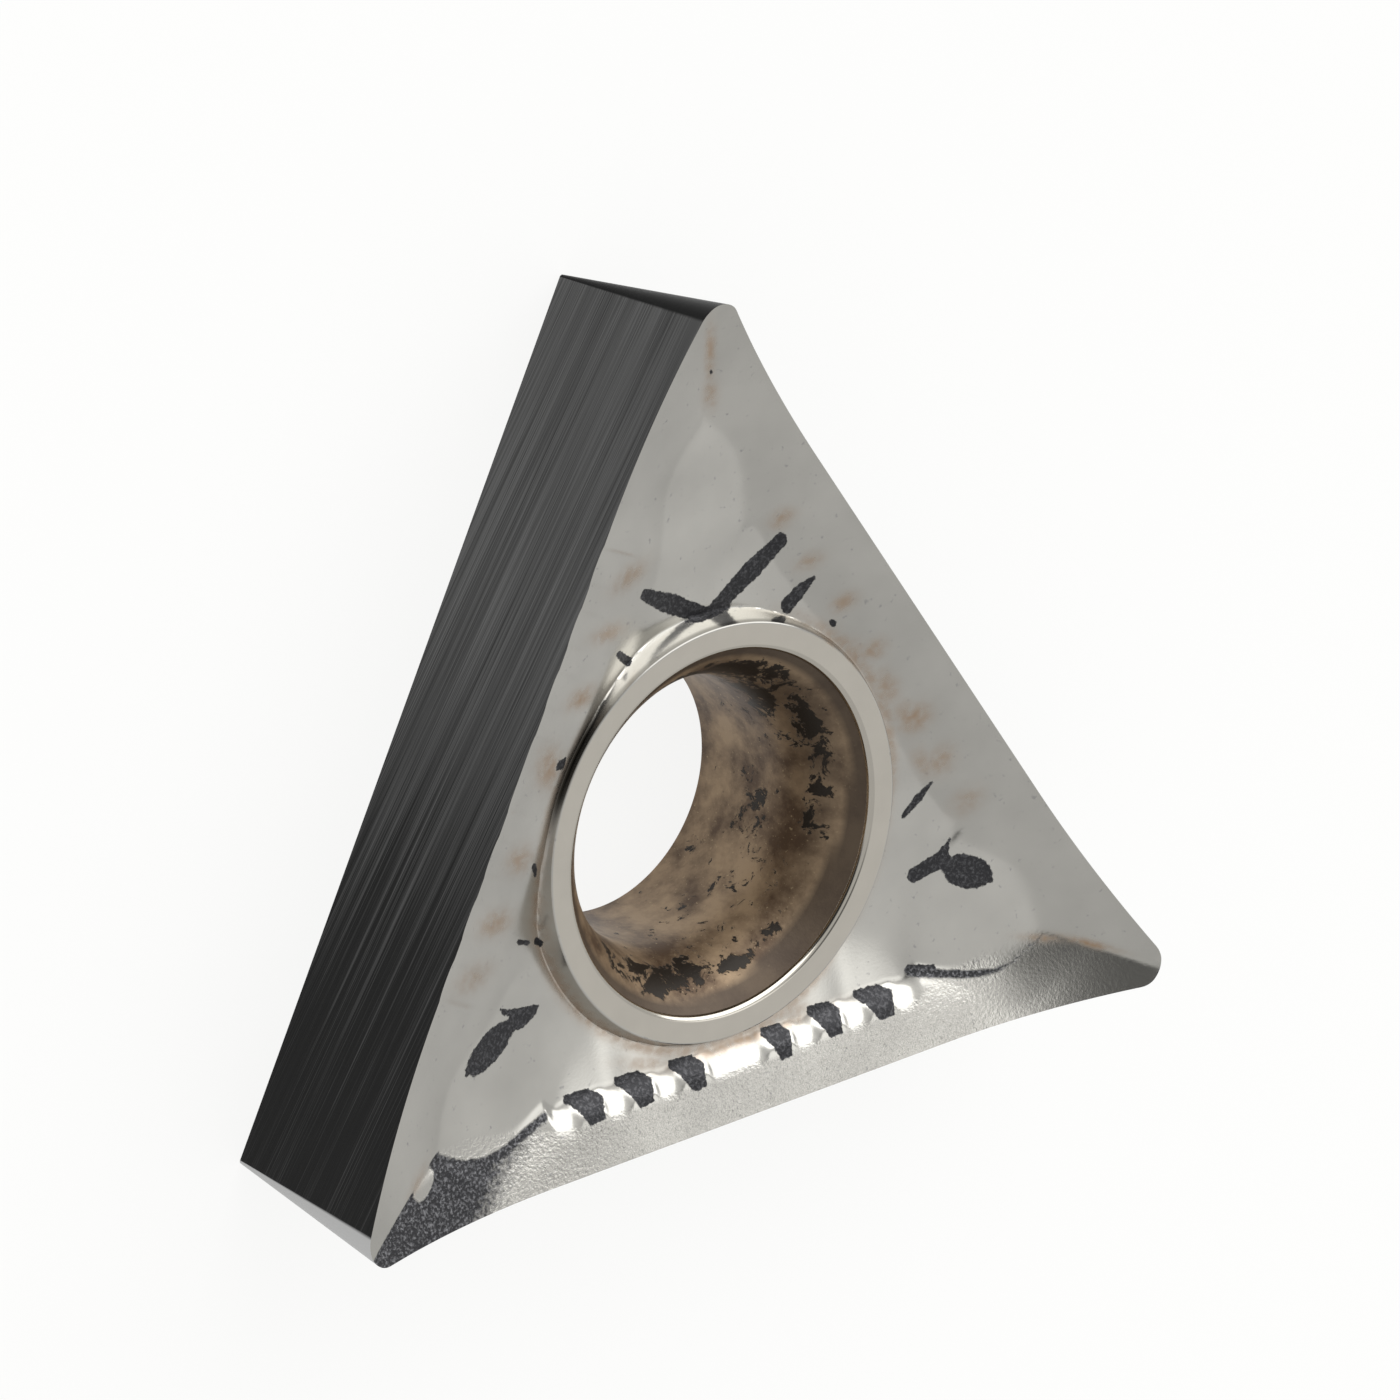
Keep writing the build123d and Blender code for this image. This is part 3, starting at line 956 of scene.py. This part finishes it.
# Studio
@dataclass(frozen=True)
class Studio:
    """Floor, world, lamps and the photograph's camera.

    A panel, flag or dark area is an azimuth and an elevation, the angles from its middle where it is
    full and where it ends, all in degrees, and what it adds or keeps of the room's level.
    """
    white: str = "#FBFBFA"
    right: tuple = (0.77508474, -0.05493564, 0.62946463)
    up: tuple = (0.28419687, 0.92006715, -0.26964529)
    toward: tuple = (-0.56433659, 0.38788983, 0.72874254)
    centre_mm: tuple = (1.68315857, 1.20464502, 999.0)
    sensor_mm: float = 36.0
    focal_px: float = 64025.9
    frame_px: int = 1400
    clip_m: tuple = (0.05, 5.0)
    room: float = 0.64
    scatter_level: float = 0.8
    sweep_deg: tuple = (5, 1)
    panels: tuple = ((-33, 50, 6, 24, 0.04), (-33, 19, 5, 17, 0.05), (0, 55.6, 4, 13, 0.95),
                     (60, 24, 30, 48, 0.36))
    flags: tuple = ((12, 82, 4, 18, 0.20),)
    behind_camera: tuple = (135, 2, 26, 42, 0.06)
    floor_m: float = 4.0
    floor_drop_m: float = 0.00001
    floor_glow: float = 0.90
    floor_seen: float = 0.12
    floor_paint: float = 0.78
    lamp_reach: float = 0.60
    lamps: tuple = (("softbox", (-33, 50), (0.34, 0.34), 0.04), ("window", (58, 26), (1.00, 0.58), 2.90))

    def camera(self) -> None:
        """Place the long-lens camera at the photograph's view, roll included."""
        data = bpy.data.cameras.new("photo_camera")
        data.sensor_width = self.sensor_mm
        data.lens = self.focal_px / self.frame_px * data.sensor_width
        data.clip_start, data.clip_end = self.clip_m
        camera = bpy.data.objects.new("photo_camera", data)
        bpy.context.scene.collection.objects.link(camera)
        x, y, z = Vector(self.right), Vector(self.up), Vector(self.toward)
        place = (x * self.centre_mm[0] + y * self.centre_mm[1] + z * self.centre_mm[2]) * MM
        camera.matrix_world = Matrix.Translation(place) @ Matrix((x, y, z)).transposed().to_4x4()
        bpy.context.scene.camera = camera

    def world(self) -> None:
        """White background, which metal mirrors near the horizon, and above it the room's panels and flags."""
        world = bpy.data.worlds.new("studio")
        bpy.context.scene.world = world
        net = empty_net(world)
        way = net.node("TexCoord").outputs["Generated"]
        height = net.node("SeparateXYZ", inputs={"Vector": way}).outputs["Z"]

        def area(azimuth: float, elevation: float, inner: float, outer: float) -> Plug:
            aim = direction(azimuth, elevation)
            dot = net.node("VectorMath", {"operation": "DOT_PRODUCT"}, {0: way, 1: aim}).outputs["Value"]
            ends = math.cos(math.radians(outer)), math.cos(math.radians(inner))
            return net.span(dot, *ends, ramp="SMOOTHSTEP")

        def dimmed(light: Plug, *place: float, keep: float) -> Plug:
            return net.maths("MULTIPLY", light, net.maths("MULTIPLY_ADD", area(*place), keep - 1.0, 1.0))

        level = self.room
        for *place, gain in self.panels:
            level = net.maths("MULTIPLY_ADD", area(*place), gain, level)
        for *place, keep in self.flags:
            level = dimmed(level, *place, keep=keep)
        ends = (math.sin(math.radians(angle)) for angle in self.sweep_deg)
        sweep = net.span(height, *ends, ramp="SMOOTHSTEP")
        level = net.node("Mix", {"data_type": "FLOAT"}, {0: sweep, 2: level, 3: 1.0}).outputs[0]
        *place, keep = self.behind_camera
        level = dimmed(level, *place, keep=keep)
        rays = net.node("LightPath").outputs
        seen = net.maths("MAXIMUM", rays["Is Camera Ray"], rays["Is Transmission Ray"])
        room, plain, scattered = (
            net.node("Background", inputs={"Color": linear(self.white), "Strength": strength}).outputs[0]
            for strength in (level, 1.0, self.scatter_level))
        mirrored = net.node("MixShader", inputs={0: rays["Is Glossy Ray"], 1: scattered, 2: room}).outputs[0]
        both = net.node("MixShader", inputs={0: seen, 1: mirrored, 2: plain}).outputs[0]
        net.node("OutputWorld", inputs={"Surface": both})

    def floor(self) -> None:
        """Plain pale floor that keeps the insert's soft shadow."""
        deselect_all()
        bpy.ops.mesh.primitive_plane_add(size=self.floor_m, location=(0, 0, -self.floor_drop_m))
        floor = bpy.context.object
        floor.name = "floor"
        material = bpy.data.materials.new("painted_board")
        net = empty_net(material)
        rays = net.node("LightPath").outputs
        seen = net.maths("MAXIMUM", rays["Is Camera Ray"], rays["Is Transmission Ray"])
        seen = net.maths("MAXIMUM", seen, rays["Is Glossy Ray"])
        glow = net.node("Emission", inputs={"Color": linear(self.white), "Strength": self.floor_glow})
        thin, paint = (net.node("BsdfDiffuse", inputs={"Color": (level, level, level, 1)}).outputs[0]
                       for level in (self.floor_seen, self.floor_paint))
        shown = net.node("AddShader", inputs={0: glow.outputs[0], 1: thin}).outputs[0]
        both = net.node("MixShader", inputs={0: seen, 1: paint, 2: shown}).outputs[0]
        net.node("OutputMaterial", inputs={"Surface": both})
        floor.data.materials.append(material)

    def lamp(self, name: str, aim: Point, size: Point, watts: float) -> None:
        """Place one rectangular softbox that faces the insert.

        Args:
            name: What it is called.
            aim: Azimuth and elevation in degrees.
            size: Width and height in metres.
            watts: Its power.
        """
        data = bpy.data.lights.new(name, "AREA")
        data.shape = "RECTANGLE"
        data.size, data.size_y = size
        data.energy = watts
        lamp = bpy.data.objects.new(name, data)
        bpy.context.scene.collection.objects.link(lamp)
        place = Vector(direction(*aim)) * self.lamp_reach
        lamp.matrix_world = Matrix.Translation(place) @ place.to_track_quat("Z", "Y").to_matrix().to_4x4()

    def build(self) -> None:
        """Set the whole studio up."""
        self.camera()
        self.world()
        self.floor()
        for lamp in self.lamps:
            self.lamp(*lamp)
        bpy.context.scene.view_settings.view_transform = "Standard"


def main() -> None:
    """Build the pieces in order and report each."""
    logging.basicConfig(level=logging.INFO)
    Studio().build()
    LOG.info("studio set")
    skin = InsertSkin().build()
    finishes = {
        Zone.CROWN: PolishedCarbide("carbide_polished"),
        Zone.FLANK: GroundCarbide("carbide_ground_flank"),
        Zone.LAND: LappedLand("carbide_lapped_land"),
        Zone.BORE: SinteredSkin("carbide_sintered_skin"),
        Zone.SEAT: GroundCarbide("carbide_ground_seat", dark="#6E6E70", light="#8E8E90"),
    }
    for zone in Zone:
        skin.data.materials.append(finishes[zone].material())
    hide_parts("insert")
    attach(skin, "root")
    LOG.info("insert dressed")


if __name__ == "__main__":
    main()
